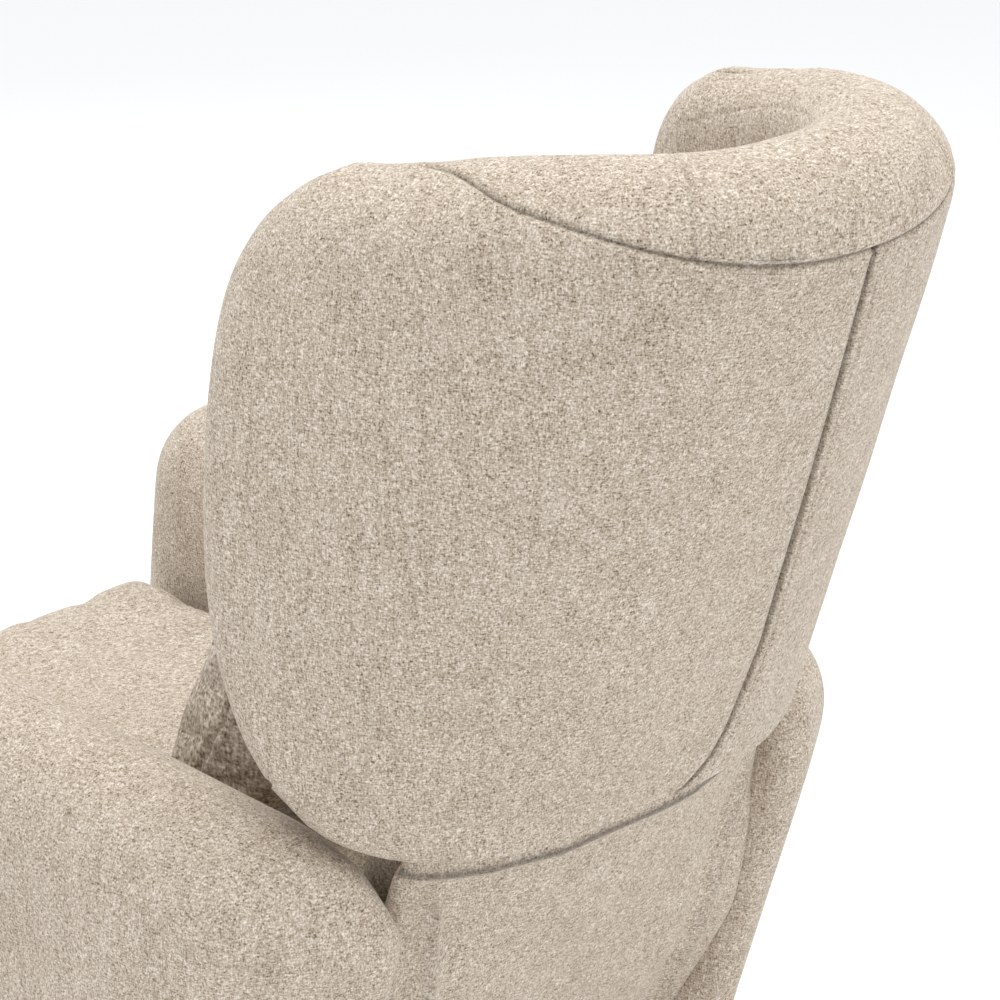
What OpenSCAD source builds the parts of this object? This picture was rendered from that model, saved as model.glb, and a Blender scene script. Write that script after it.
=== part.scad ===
// Reclining swivel glider chair for a nursery.
// Millimetres. +Z is up, the chair faces -Y, the sitter's left is +X.
// The origin is on the floor, on the swivel axis.

/* [Body] */
// Clear width between the two arms
seat_w = 450; // [400:5:520]
// Thickness of one arm
arm_w = 165; // [130:5:190]
// Height of the arm's crest above the floor
arm_h = 600; // [560:5:640]
// Distance from the swivel axis to the front of the arms and the seat
body_front = 510; // [450:5:560]
// Distance from the swivel axis to the rear of the arms
arm_rear = 363; // [340:1:380]
// How far the arms stand out in front of the seat
arm_lead = 24; // [0:1:45]
// How much higher the arms are at their front
arm_rise = 25; // [0:1:40]
// How far forward the foot of the arms' rear edge lies
arm_rake = 130; // [60:5:150]
// Height of the body's lower edge above the floor
body_clear = 60; // [45:1:90]
// Height of the seat cushion's top above the floor
seat_h = 450; // [430:5:480]
// Thickness of the seat cushion
cushion_t = 122; // [100:2:130]

/* [Back shell] */
// Outer width of the back shell at its lower edge
back_w = 600; // [540:10:640]
// Length of the back shell along its lean, from edge to edge
back_h = 624; // [520:10:660]
// Thickness of the rolled top
roll_t = 126; // [100:2:140]
// Thickness of the wings at their lower edge
shell_t = 92; // [70:2:100]
// Extra padding in the middle of the back, at its lower edge
pad_extra = 45; // [20:5:60]
// How far the wings come forward at the lower edge
wing_low = 119; // [90:5:140]
// How far the wings come forward at the top
wing_high = 250; // [220:5:300]
// Lean of the back from upright, in degrees
lean = 21; // [15:1:24]

/* [Recline] */
// Height of the recline pivot above the floor
pivot_h = 311; // [300:1:320]
// Radius of the recline pivot pins
pivot_r = 7; // [5:0.5:9]
// Side of a back upright's section across the chair
upright_w = 20; // [16:1:26]
// Depth of a back upright's section
upright_d = 40; // [30:1:46]

/* [Glide] */
// Distance between a glide link's two pivots
link_l = 170; // [150:5:180]
// Radius of the glide pins
glide_pin_r = 6; // [5:0.5:8]
// Distance between the front and rear glide pivots
link_spread = 220; // [190:5:260]
// Thickness of the glide mechanism's steel plates
steel_t = 5; // [4:0.5:6]

/* [Swivel base] */
// Diameter of the floor disc
disc_d = 600; // [520:10:640]
// Thickness of the floor disc
disc_t = 18; // [14:1:22]
// Radius of the swivel's king bolt
king_r = 10; // [8:0.5:12]
// Number of balls in the swivel bearing
ball_count = 20; // [12:1:24]

/* [Leg rest] */
// Height of the leg rest panel
leg_h = 222; // [190:2:230]
// Thickness of the leg rest panel
leg_t = 34; // [28:1:40]
// Length of the fold-out foot flap
flap_l = 165; // [130:5:175]

/* [Hidden] */

$fn = 64;
soft_fn = 28;        // facets on the rounded corners of soft solids
run = 0.05;          // radial running clearance of a pin in its bore
gap = 1;             // side clearance between plates that turn past each other
soft_gap = 2;        // clearance between soft pieces and their neighbours

fabric = [0.76, 0.71, 0.64];
pillow_fabric = [0.66, 0.60, 0.53];
steel = [0.35, 0.36, 0.38];
zinc = [0.72, 0.73, 0.75];
wood = [0.78, 0.66, 0.48];

// --- Heights of the swivel stack
pad_t = 3;
race_t = 10;
ball_r = 5;
ball_track_r = 85;
race_in = 50;
race_out = 110;
race_gap = 3;
plate_t = 8;
disc_top = pad_t + disc_t;
race_top = disc_top + race_t;
ball_z = race_top + race_gap / 2;
upper_z = race_top + race_gap;
plate_z = upper_z + race_t;
plate_top = plate_z + plate_t;

// --- Glide linkage, inside to outside: bracket, link, hanger, rail
link_w = 30;
hanger_w = 36;
lower_pivot_z = 88;
upper_pivot_z = lower_pivot_z + link_l;
rail_in = seat_w / 2 - 23;
hanger_x = rail_in - steel_t;
link_x = hanger_x - 2 * gap - 2 - steel_t;
bracket_x = link_x - gap - 2 - steel_t;
pivot_y = link_spread / 2;
pin_head = 4;
tube_r = 10;
tube_wall = 3;

// --- Seat frame
rail_w = seat_w / 2 - rail_in;
rail_top = seat_h - cushion_t - soft_gap;
rail_d = 60;
rail_z = rail_top - rail_d;
rail_front = body_front - 75;
rail_rear = 205;
cross_t = 25;
web_t = 2;
web_w = 55;
web_count = 5;

// --- Back plane: points are [x, w, v], w out of the back's rear face, v up the lean
hinge_v = -150;
hinge_y = 250;
back_y = hinge_y - hinge_v * sin(lean);
back_z = pivot_h - hinge_v * cos(lean);
edge_r = 15;                       // rounding of the shell's lower edge
shell_v0 = 137;
shell_v1 = shell_v0 + back_h - roll_t / 2 - edge_r - 3;
half_t = roll_t / 2;
shell_a = back_w / 2 - half_t;
upright_x = 120;
upright_top = 430;
panel_v0 = -95;
panel_v1 = 117;
panel_t = 70;
panel_top_half = 218;
panel_low_half = 180;
cover_v0 = -185;
cover_t = 13;

// --- Leg rest: a short link swings the panel out and up, and a flap unfolds from behind it
panel_gap = 4;
leg_top = rail_top - panel_gap;
leg_back = -(body_front - leg_t);
leg_pin_r = 5;
leg_x = 150;
leg_plate = 5;
link_pivot_y = leg_back + 15;
link_pivot_z = leg_top - 105;
panel_pivot_y = leg_back + 14;
panel_pivot_z = leg_top - 14;
leg_half = seat_w / 2 - 4;
flap_half = 115;
flap_pin_r = 4;
knuckle_r = 8;
flap_pivot_y = leg_back + knuckle_r + soft_gap;
flap_pivot_z = leg_top - leg_h + knuckle_r;

// --- Release lever, on the sitter's right
lever_y = -170;
lever_z = 330;
lever_r = 6;
boss_r = 12;
boss_deep = 40;
lever_reach = 100;
lever_t = 8;
side_x = seat_w / 2 + arm_w;

// --- Shape of the back shell
plan_power = 2.6;
top_power = 3.3;
low_power = 5.5;
mid_v = 0.53;
spread = 0.25;
gather = 0.375;
belly = 2.04;
wing_drop = 50;
shell_columns = 48;
face_rings = 7;
rim_rings = 6;
function half_width(v) = shell_a * (1 + spread * v - gather * v * v);
function wing_depth(v) = wing_low + (wing_high - wing_low) * (belly * v - (belly - 1) * v * v);
function unit(v) = min(max(v, 0), 1);
function wall(p, v) =
    shell_t + (roll_t - shell_t) * unit(v) + pad_extra * (1 - unit(abs(p))) * (1 + unit(abs(p))) * (1 - unit(v));
function plan_point(p, v) =
    let (f = min(abs(p), 1) * 90, e = 2 / plan_power, beyond = max(abs(p) - 1, 0))
    [sign(p) * half_width(v) * pow(sin(f), e),
     -wing_depth(v) * (1 - pow(max(cos(f), 0), e)) - beyond * (shell_a + wing_depth(v))];
function plan_normal(p, v) =
    let (s = 0.004, q = min(max(p, -1 + s), 1 - s),
         d = plan_point(q + s, v) - plan_point(q - s, v), l = norm(d))
    [-d[1] / l, d[0] / l];
function back_place(x, w, v) =
    [x, back_y + w * cos(lean) + v * sin(lean), back_z + v * cos(lean) - w * sin(lean)];
function shell_place(p, v, off) =
    let (c = plan_point(p, v), n = plan_normal(p, v),
         top = shell_v1 - wing_drop * p * p * pow(unit(v), 2))
    back_place(c[0] + n[0] * off, c[1] + n[1] * off, shell_v0 + v * (top - shell_v0));
// One point of the closed shell: angle round the outline, reach from the centre, and
// turn from the rear face (0) over the rim to the inner face (180)
function shell_point(angle, reach, turn) =
    let (s = sin(angle), m = s > 0 ? top_power : low_power,
         c = sign(cos(angle)) * pow(abs(cos(angle)), plan_power / 2),
         roll = s > 0 ? half_t : edge_r + (half_t - edge_r) * pow(abs(c), 3),
         l = pow(pow(abs(c), m) + pow(abs(s), m), 1 / m),
         p = c / l * (reach + roll * sin(turn) / (shell_a + wing_depth(0.5))),
         q = s / l * (reach + roll * sin(turn) / ((shell_v1 - shell_v0) / 2)),
         v = q > 0 ? mid_v + q * (1 - mid_v) : mid_v + q * mid_v,
         t = wall(p, v))
    shell_place(p, v, half_t - t / 2 + t / 2 * cos(turn));

// --- General shapes
module rounded_block(size, r) {
    hull()
        for (x = [r, size[0] - r], y = [r, size[1] - r], z = [r, size[2] - r])
            translate([x, y, z]) sphere(r, $fn = soft_fn);
}
// A plate in the YZ plane, from x to x + t, outlined by its children
module side_plate(x, t) {
    translate([x, 0, 0]) rotate([90, 0, 90]) linear_extrude(t) children();
}
// A rod along X
module rod_x(x0, x1, y, z, r) {
    translate([x0, y, z]) rotate([0, 90, 0]) cylinder(h = x1 - x0, r = r);
}
module mirror_x(on) {
    if (on) mirror([1, 0, 0]) children();
    else children();
}
// Puts children from back-plane axes [x, w, v] into the chair
module on_back() {
    translate([0, back_y, back_z]) rotate([-lean, 0, 0]) children();
}

// --- Swivel base
module floor_pad() {
    color("dimgray") cylinder(h = pad_t, r = disc_d / 2 - 15);
}
module floor_disc() {
    edge = 4;
    color(wood) difference() {
        translate([0, 0, pad_t]) rotate_extrude($fn = 128) polygon([
            [king_r, 0], [disc_d / 2 - edge, 0], [disc_d / 2, edge],
            [disc_d / 2, disc_t - edge], [disc_d / 2 - edge, disc_t], [king_r, disc_t]
        ]);
        translate([0, 0, pad_t - 1]) cylinder(h = 8 + 1, r = king_r + 8);
    }
}
module king_bolt() {
    color(zinc) union() {
        translate([0, 0, pad_t + 1]) cylinder(h = 7, r = king_r + 7);
        translate([0, 0, pad_t + 1]) cylinder(h = plate_top + 12 - pad_t, r = king_r);
        translate([0, 0, plate_top + 0.5]) cylinder(h = 2, r = king_r + 9);
        translate([0, 0, plate_top + 2.5]) cylinder(h = 9, r = king_r + 6, $fn = 6);
    }
}
module race(z, groove_r) {
    color(zinc) difference() {
        translate([0, 0, z]) difference() {
            cylinder(h = race_t, r = race_out);
            translate([0, 0, -1]) cylinder(h = race_t + 2, r = race_in);
        }
        translate([0, 0, ball_z]) rotate_extrude() translate([ball_track_r, 0]) circle(groove_r);
    }
}
module lower_race() race(disc_top, ball_r + run);
module upper_race() race(upper_z, ball_r + 2 * run);
module bearing_balls() {
    color("silver")
        for (i = [0 : ball_count - 1])
            rotate([0, 0, i * 360 / ball_count]) translate([ball_track_r, 0, ball_z]) sphere(ball_r);
}

// --- Turntable
module turntable_plate() {
    corner = 12;
    color(steel) translate([0, 0, plate_z]) difference() {
        linear_extrude(plate_t) hull()
            for (x = [-1, 1], y = [-1, 1])
                translate([x * (bracket_x + steel_t - corner), y * (race_out - corner)]) circle(corner);
        translate([0, 0, -1]) cylinder(h = plate_t + 2, r = king_r + run);
    }
}
// Upright plate with a narrow foot, so that the link tubes pass beside it
module glide_bracket(on) {
    foot = 40;
    neck_z = 122;
    color(steel) mirror_x(on) difference() {
        side_plate(bracket_x, steel_t) bracket_outline(foot, neck_z);
        for (y = [-pivot_y, pivot_y])
            rod_x(bracket_x - 1, bracket_x + steel_t + 1, y, upper_pivot_z, glide_pin_r);
    }
}
module bracket_outline(foot, neck_z) {
    reach = pivot_y + 22;
    polygon([
        [-foot, plate_top], [foot, plate_top], [foot, neck_z], [reach, upper_pivot_z - 40],
        [reach, upper_pivot_z + 12], [reach - 10, upper_pivot_z + 22],
        [-reach + 10, upper_pivot_z + 22], [-reach, upper_pivot_z + 12],
        [-reach, upper_pivot_z - 40], [-foot, neck_z]
    ]);
}
module glide_bracket_left() glide_bracket(false);
module glide_bracket_right() glide_bracket(true);
module upper_glide_pins() {
    end = link_x + steel_t + 1.5;
    color(zinc)
        for (side = [false, true], y = [-pivot_y, pivot_y])
            mirror_x(side) union() {
                rod_x(bracket_x - pin_head, bracket_x, y, upper_pivot_z, glide_pin_r + 4);
                rod_x(bracket_x - pin_head, end, y, upper_pivot_z, glide_pin_r);
            }
}

// --- Glide links
module glide_link(on, y) {
    color(steel) mirror_x(on) difference() {
        side_plate(link_x, steel_t) hull() {
            translate([y, upper_pivot_z]) circle(link_w / 2);
            translate([y, lower_pivot_z]) circle(link_w / 2);
        }
        for (z = [upper_pivot_z, lower_pivot_z])
            rod_x(link_x - 1, link_x + steel_t + 1, y, z, glide_pin_r + run);
    }
}
module link_tube(y) {
    color(steel) difference() {
        rod_x(-link_x, link_x, y, lower_pivot_z, tube_r);
        rod_x(-link_x - 1, link_x + 1, y, lower_pivot_z, tube_r - tube_wall);
    }
}
module front_link_left() glide_link(false, -pivot_y);
module front_link_right() glide_link(true, -pivot_y);
module front_link_tube() link_tube(-pivot_y);
module rear_link_left() glide_link(false, pivot_y);
module rear_link_right() glide_link(true, pivot_y);
module rear_link_tube() link_tube(pivot_y);

// --- Seat frame, hung from the links
module hanger(on, y) {
    color(steel) mirror_x(on) difference() {
        side_plate(hanger_x, steel_t) hull() {
            translate([y, lower_pivot_z]) circle(hanger_w / 2);
            translate([y - hanger_w / 2, rail_top - 4]) square([hanger_w, 2]);
        }
        rod_x(hanger_x - 1, hanger_x + steel_t + 1, y, lower_pivot_z, glide_pin_r);
    }
}
module hanger_front_left() hanger(false, -pivot_y);
module hanger_front_right() hanger(true, -pivot_y);
module hanger_rear_left() hanger(false, pivot_y);
module hanger_rear_right() hanger(true, pivot_y);
module lower_glide_pins() {
    color(zinc)
        for (side = [false, true], y = [-pivot_y, pivot_y])
            mirror_x(side) union() {
                rod_x(link_x - 1.5, hanger_x + steel_t, y, lower_pivot_z, glide_pin_r);
                rod_x(hanger_x + steel_t, hanger_x + steel_t + pin_head, y, lower_pivot_z, glide_pin_r + 4);
            }
}
module seat_rail(on) {
    color(wood) mirror_x(on) translate([rail_in, -rail_front, rail_z])
        cube([rail_w, rail_front + rail_rear, rail_d]);
}
module seat_rail_left() seat_rail(false);
module seat_rail_right() seat_rail(true);
module cross_rail(y) {
    color(wood) translate([-rail_in, y, rail_z]) cube([2 * rail_in, cross_t, rail_d]);
}
module seat_rail_front() cross_rail(-rail_front);
module seat_rail_rear() cross_rail(rail_rear - cross_t);
module seat_webbing() {
    pitch = (2 * rail_in - web_w - 20) / (web_count - 1);
    color("black")
        for (i = [0 : web_count - 1])
            translate([-rail_in + 10 + i * pitch, -rail_front, rail_top])
                cube([web_w, rail_front + rail_rear, web_t]);
}
module seat_cushion() {
    half = seat_w / 2 - soft_gap;
    rear = 212;
    z0 = rail_top + web_t;
    color(fabric) translate([-half, -body_front, z0])
        rounded_block([2 * half, body_front + rear, seat_h - z0], 34);
}

// --- Arms
arm_r = arm_w / 2;
arm_x = seat_w / 2 + arm_r;
board_t = 18;
board_in = 12;
board_front = 70;
board_rear = 195;
board_drop = 100;
board_clear = 15;
arm_front_r = 52;
arm_rear_r = 28;
rear_top_z = arm_h - 105;
rear_x = seat_w / 2 + arm_rear_r;
rear_foot_y = arm_rear - arm_rear_r - arm_rake;
front_board_h = 320;
foot_h = 10;
crest_back = 185;
waist_y = 80;
module arm_board_shape() {
    foot = body_clear + board_clear;
    translate([seat_w / 2 + board_in, -(body_front - board_front), foot])
        cube([board_t, body_front - board_front + board_rear, arm_h - board_drop - foot]);
}
module arm_foot(x, y, h, r) {
    translate([x, y, body_clear]) cylinder(h = h, r = r, $fn = soft_fn);
}
module arm(on) {
    front_y = -(body_front + arm_lead);
    color(fabric) mirror_x(on) difference() {
        hull() {
            translate([arm_x, front_y + arm_r, arm_h + arm_rise - arm_r])
                sphere(arm_r, $fn = soft_fn);
            translate([arm_x, arm_rear - crest_back, arm_h - arm_r]) sphere(arm_r, $fn = soft_fn);
            translate([rear_x, arm_rear - arm_rear_r, rear_top_z])
                sphere(arm_rear_r, $fn = soft_fn);
            for (x = [-1, 1])
                arm_foot(arm_x + x * (arm_r - arm_front_r), front_y + arm_front_r, front_board_h,
                    arm_front_r);
            arm_foot(arm_x + arm_r - arm_front_r, waist_y, foot_h, arm_front_r);
            arm_foot(rear_x, rear_foot_y, foot_h, arm_rear_r);
        }
        arm_board_shape();
        if (on) rod_x(side_x - boss_deep, side_x + 1, lever_y, lever_z, boss_r);
    }
}
module arm_left() arm(false);
module arm_right() arm(true);
module arm_board_left() color(wood) arm_board_shape();
module arm_board_right() color(wood) mirror([1, 0, 0]) arm_board_shape();
rear_panel_t = 20;
rear_panel_top = 255;
rear_panel_lap = 9;
module rear_panel() {
    half = seat_w / 2;
    rake = arm_rake / (rear_top_z - body_clear);
    shift = [-half, rear_foot_y - rear_panel_lap, body_clear];
    color(fabric) translate(shift) multmatrix([[1, 0, 0, 0], [0, 1, rake, 0], [0, 0, 1, 0]])
        cube([2 * half, rear_panel_t, rear_panel_top - body_clear]);
}

// --- Recline pivots: a clevis on the rear rail each side, and an upright between its cheeks
cheek_t = 5;
module recline_bracket(on) {
    inner = upright_x - upright_w / 2 - gap;
    outer = upright_x + upright_w / 2 + gap;
    tall = 26;
    color(steel) mirror_x(on) difference() {
        union() {
            for (x = [inner - cheek_t, outer])
                side_plate(x, cheek_t) hull() {
                    translate([hinge_y, pivot_h]) circle(20);
                    translate([rail_rear, pivot_h - tall]) square([2, 2 * tall - 12]);
                }
            translate([inner - cheek_t, rail_rear, pivot_h - tall])
                cube([outer - inner + 2 * cheek_t, 4, 2 * tall - 12]);
        }
        rod_x(inner - cheek_t - 1, outer + cheek_t + 1, hinge_y, pivot_h, pivot_r);
    }
}
module recline_bracket_left() recline_bracket(false);
module recline_bracket_right() recline_bracket(true);
module recline_pins() {
    reach = upright_w / 2 + gap + cheek_t;
    color(zinc)
        for (side = [false, true])
            mirror_x(side) union() {
                rod_x(upright_x - reach, upright_x + reach + 3, hinge_y, pivot_h, pivot_r);
                rod_x(upright_x + reach, upright_x + reach + 3, hinge_y, pivot_h, pivot_r + 4);
            }
}

// --- Backrest
module upright_bar(extra) {
    translate([upright_x - upright_w / 2 - extra, -upright_d / 2 - extra, hinge_v])
        cube([upright_w + 2 * extra, upright_d + 2 * extra, upright_top - hinge_v + extra]);
}
module back_upright(on) {
    color(steel) mirror_x(on) on_back() difference() {
        union() {
            upright_bar(0);
            rod_x(upright_x - upright_w / 2, upright_x + upright_w / 2, 0, hinge_v, upright_d / 2);
        }
        rod_x(upright_x - upright_w, upright_x + upright_w, 0, hinge_v, pivot_r + run);
    }
}
module back_upright_left() back_upright(false);
module back_upright_right() back_upright(true);
module back_rail(v) {
    half = upright_x - upright_w / 2;
    translate([-half, -upright_d / 2 + 5, v]) cube([2 * half, upright_d - 10, 30]);
}
top_rail_v = 380;
low_rail_v = 0;
module back_top_rail() color(wood) on_back() back_rail(top_rail_v);
module back_low_rail() color(wood) on_back() back_rail(low_rail_v);
module back_shell() {
    rings = concat(
        [for (i = [1 : face_rings]) [i / face_rings, 0]],
        [for (i = [1 : rim_rings - 1]) [1, i * 180 / rim_rings]],
        [for (i = [face_rings : -1 : 1]) [i / face_rings, 180]]
    );
    n = len(rings);
    m = shell_columns;
    points = concat(
        [for (r = rings, j = [0 : m - 1]) shell_point(j * 360 / m, r[0], r[1])],
        [shell_point(0, 0, 0), shell_point(0, 0, 180)]
    );
    faces = concat(
        [for (i = [0 : n - 2], j = [0 : m - 1]) [i * m + j, (i + 1) * m + j, (i + 1) * m + (j + 1) % m]],
        [for (i = [0 : n - 2], j = [0 : m - 1]) [i * m + j, (i + 1) * m + (j + 1) % m, i * m + (j + 1) % m]],
        [for (j = [0 : m - 1]) [n * m, j, (j + 1) % m]],
        [for (j = [0 : m - 1]) [n * m + 1, (n - 1) * m + (j + 1) % m, (n - 1) * m + j]]
    );
    color(fabric) difference() {
        polyhedron(points, faces, convexity = 6);
        for (side = [false, true])
            mirror_x(side) on_back() upright_bar(0);
        on_back() back_rail(top_rail_v);
    }
}
module panel_outline(v0, v1, half0, half1) {
    r = 12;
    hull()
        for (x = [-1, 1]) {
            translate([x * (half0 - r), v0 + r]) circle(r);
            translate([x * (half1 - 1), v1 - 1]) circle(1);
        }
}
module panel_slab(w0, w1) {
    translate([0, w1, 0]) rotate([90, 0, 0]) linear_extrude(w1 - w0) children();
}
module lower_back_panel() {
    color(fabric) on_back() difference() {
        union() {
            panel_slab(-panel_t / 2, panel_t / 2)
                panel_outline(panel_v0, panel_v1, panel_low_half, panel_top_half);
            panel_slab(panel_t / 2 - cover_t, panel_t / 2)
                panel_outline(cover_v0, panel_v0 + 40, panel_low_half - 16, panel_low_half);
        }
        for (side = [false, true])
            mirror_x(side) upright_bar(0);
        back_rail(low_rail_v);
    }
}

// --- Lumbar pillow, leaning in the corner of the seat and the back
module lumbar_pillow() {
    half = 195;
    tall = 280;
    thick = 170;
    tilt = 26;
    corner = 22;
    pillow_y = 112;
    sink = 20;
    place = [0, pillow_y, seat_h + tall / 2 - sink + corner / 2];
    color(pillow_fabric) translate(place) rotate([-tilt, 0, 0]) hull() {
        for (x = [-1, 1], z = [-1, 1])
            translate([x * (half - corner), 0, z * (tall / 2 - corner)]) sphere(corner, $fn = soft_fn);
        scale([0.65 * half, thick / 2, 0.4 * tall]) sphere(1, $fn = soft_fn);
    }
}

// --- Leg rest and its fold-out flap
module leg_link(on) {
    color(steel) mirror_x(on) difference() {
        side_plate(leg_x, leg_plate) hull() {
            translate([link_pivot_y, link_pivot_z]) circle(10);
            translate([panel_pivot_y, panel_pivot_z]) circle(10);
        }
        for (p = [[link_pivot_y, link_pivot_z], [panel_pivot_y, panel_pivot_z]])
            rod_x(leg_x - 1, leg_x + leg_plate + 1, p[0], p[1], leg_pin_r + run);
    }
}
module leg_link_left() leg_link(false);
module leg_link_right() leg_link(true);
module leg_bracket(on) {
    x0 = leg_x + leg_plate + gap;
    color(steel) mirror_x(on) difference() {
        side_plate(x0, leg_plate) hull() {
            translate([link_pivot_y, link_pivot_z]) circle(11);
            translate([-rail_front - 2, rail_z]) square([2, 30]);
        }
        rod_x(x0 - 1, x0 + leg_plate + 1, link_pivot_y, link_pivot_z, leg_pin_r);
    }
}
module leg_bracket_left() leg_bracket(false);
module leg_bracket_right() leg_bracket(true);
module leg_link_pins() {
    x1 = leg_x + 2 * leg_plate + gap;
    color(zinc)
        for (side = [false, true])
            mirror_x(side) union() {
                rod_x(leg_x - 0.5, x1, link_pivot_y, link_pivot_z, leg_pin_r);
                rod_x(x1, x1 + 3, link_pivot_y, link_pivot_z, leg_pin_r + 3);
            }
}
module leg_panel() {
    r = 12;
    color(fabric) translate([0, 0, leg_top - leg_h]) linear_extrude(leg_h) hull() {
        for (x = [-1, 1]) {
            translate([x * (leg_half - r), -body_front + r]) circle(r);
            translate([x * (leg_half - 1), leg_back - 1]) circle(1);
        }
    }
}
module panel_ear(on) {
    x0 = leg_x - gap - leg_plate;
    color(steel) mirror_x(on) difference() {
        side_plate(x0, leg_plate) hull() {
            translate([panel_pivot_y, panel_pivot_z]) circle(9);
            translate([leg_back, panel_pivot_z - 30]) square([2, 38]);
        }
        rod_x(x0 - 1, x0 + leg_plate + 1, panel_pivot_y, panel_pivot_z, leg_pin_r);
    }
}
module panel_ear_left() panel_ear(false);
module panel_ear_right() panel_ear(true);
module panel_pins() {
    x0 = leg_x - gap - leg_plate;
    color(zinc)
        for (side = [false, true])
            mirror_x(side) union() {
                rod_x(x0 - 3, x0, panel_pivot_y, panel_pivot_z, leg_pin_r + 3);
                rod_x(x0 - 3, leg_x + leg_plate + 0.5, panel_pivot_y, panel_pivot_z, leg_pin_r);
            }
}
module flap_knuckle(on) {
    color(steel) mirror_x(on) difference() {
        side_plate(flap_half + gap, leg_plate) hull() {
            translate([flap_pivot_y, flap_pivot_z]) circle(knuckle_r);
            translate([leg_back, flap_pivot_z + 4]) square([2, 24]);
        }
        rod_x(flap_half, flap_half + leg_plate + 2, flap_pivot_y, flap_pivot_z, flap_pin_r);
    }
}
module flap_knuckle_left() flap_knuckle(false);
module flap_knuckle_right() flap_knuckle(true);
module flap_pin() {
    reach = flap_half + gap + leg_plate;
    color(zinc) rod_x(-reach, reach, flap_pivot_y, flap_pivot_z, flap_pin_r);
}
module foot_flap() {
    color(fabric) difference() {
        side_plate(-flap_half, 2 * flap_half) hull() {
            translate([flap_pivot_y, flap_pivot_z]) circle(knuckle_r);
            translate([flap_pivot_y, flap_pivot_z + flap_l - 2 * knuckle_r]) circle(knuckle_r);
        }
        rod_x(-flap_half - 1, flap_half + 1, flap_pivot_y, flap_pivot_z, flap_pin_r + run);
    }
}

// --- Release lever
module lever_boss() {
    color(zinc) mirror([1, 0, 0]) difference() {
        rod_x(side_x - boss_deep, side_x + 2, lever_y, lever_z, boss_r);
        rod_x(side_x - boss_deep - 1, side_x + 3, lever_y, lever_z, lever_r + run);
    }
}
module release_lever() {
    x0 = side_x + 2 + gap;
    color(wood) mirror([1, 0, 0]) union() {
        rod_x(side_x - boss_deep + 2, x0, lever_y, lever_z, lever_r);
        side_plate(x0, lever_t) hull() {
            translate([lever_y, lever_z]) circle(boss_r + 2);
            translate([lever_y - lever_reach, lever_z - 10]) circle(boss_r);
        }
    }
}

floor_pad();
floor_disc();
king_bolt();
lower_race();
bearing_balls();
upper_race();
turntable_plate();
glide_bracket_left();
glide_bracket_right();
upper_glide_pins();
front_link_left();
front_link_right();
front_link_tube();
rear_link_left();
rear_link_right();
rear_link_tube();
hanger_front_left();
hanger_front_right();
hanger_rear_left();
hanger_rear_right();
lower_glide_pins();
seat_rail_left();
seat_rail_right();
seat_rail_front();
seat_rail_rear();
seat_webbing();
seat_cushion();
arm_left();
arm_right();
arm_board_left();
arm_board_right();
rear_panel();
recline_bracket_left();
recline_bracket_right();
recline_pins();
back_shell();
lower_back_panel();
back_upright_left();
back_upright_right();
back_top_rail();
back_low_rail();
lumbar_pillow();
leg_bracket_left();
leg_bracket_right();
leg_link_pins();
leg_link_left();
leg_link_right();
leg_panel();
panel_ear_left();
panel_ear_right();
panel_pins();
flap_knuckle_left();
flap_knuckle_right();
flap_pin();
foot_flap();
lever_boss();
release_lever();
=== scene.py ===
"""Looks of a reclining swivel glider chair, built around its packed frame.

Metres, +Z up. The chair faces -Y and the sitter's left is +X.
"""
import math

import bmesh
import bpy
import numpy as np
from bpy.props import FloatProperty, FloatVectorProperty, IntProperty, PointerProperty
from mathutils import Matrix, Vector, noise


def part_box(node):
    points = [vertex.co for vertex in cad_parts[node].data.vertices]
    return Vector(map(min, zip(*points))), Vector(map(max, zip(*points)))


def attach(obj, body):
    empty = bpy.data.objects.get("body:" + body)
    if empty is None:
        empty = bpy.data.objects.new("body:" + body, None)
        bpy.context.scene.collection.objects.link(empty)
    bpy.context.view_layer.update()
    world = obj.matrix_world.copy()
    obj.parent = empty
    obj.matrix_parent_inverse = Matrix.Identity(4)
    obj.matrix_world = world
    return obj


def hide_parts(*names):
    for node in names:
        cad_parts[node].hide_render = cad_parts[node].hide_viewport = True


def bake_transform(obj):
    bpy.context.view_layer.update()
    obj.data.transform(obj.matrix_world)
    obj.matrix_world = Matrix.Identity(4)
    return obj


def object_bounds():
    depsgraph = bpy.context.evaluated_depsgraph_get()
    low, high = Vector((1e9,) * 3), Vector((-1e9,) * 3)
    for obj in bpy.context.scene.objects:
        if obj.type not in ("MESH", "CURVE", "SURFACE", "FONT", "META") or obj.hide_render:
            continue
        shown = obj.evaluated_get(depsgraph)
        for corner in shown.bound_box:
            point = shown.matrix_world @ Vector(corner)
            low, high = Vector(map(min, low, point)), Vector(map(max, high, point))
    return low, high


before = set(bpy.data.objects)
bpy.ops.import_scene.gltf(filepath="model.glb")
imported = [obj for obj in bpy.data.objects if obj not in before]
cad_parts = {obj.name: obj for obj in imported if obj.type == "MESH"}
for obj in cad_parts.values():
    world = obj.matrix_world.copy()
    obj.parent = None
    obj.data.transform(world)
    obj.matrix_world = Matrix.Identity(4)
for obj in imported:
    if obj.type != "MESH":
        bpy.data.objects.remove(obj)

bl_info = {
    "name": "Glider Chair Looks",
    "version": (1, 0, 0),
    "blender": (4, 5, 0),
    "location": "3D View > Sidebar > Glider",
    "description": "Sews the covers and finishes the woodwork and metalwork of a swivel glider chair",
    "category": "Object",
}

CAD_LOW, CAD_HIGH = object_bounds()
ARM_LOW, ARM_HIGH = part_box("arm_left")
SEAT_LOW, SEAT_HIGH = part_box("seat_cushion")
LEG_LOW, LEG_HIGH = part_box("leg_panel")
FLAP_LOW, FLAP_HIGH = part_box("foot_flap")


# --- Sizes and colours that a user can change ---------------------------------------------

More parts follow.
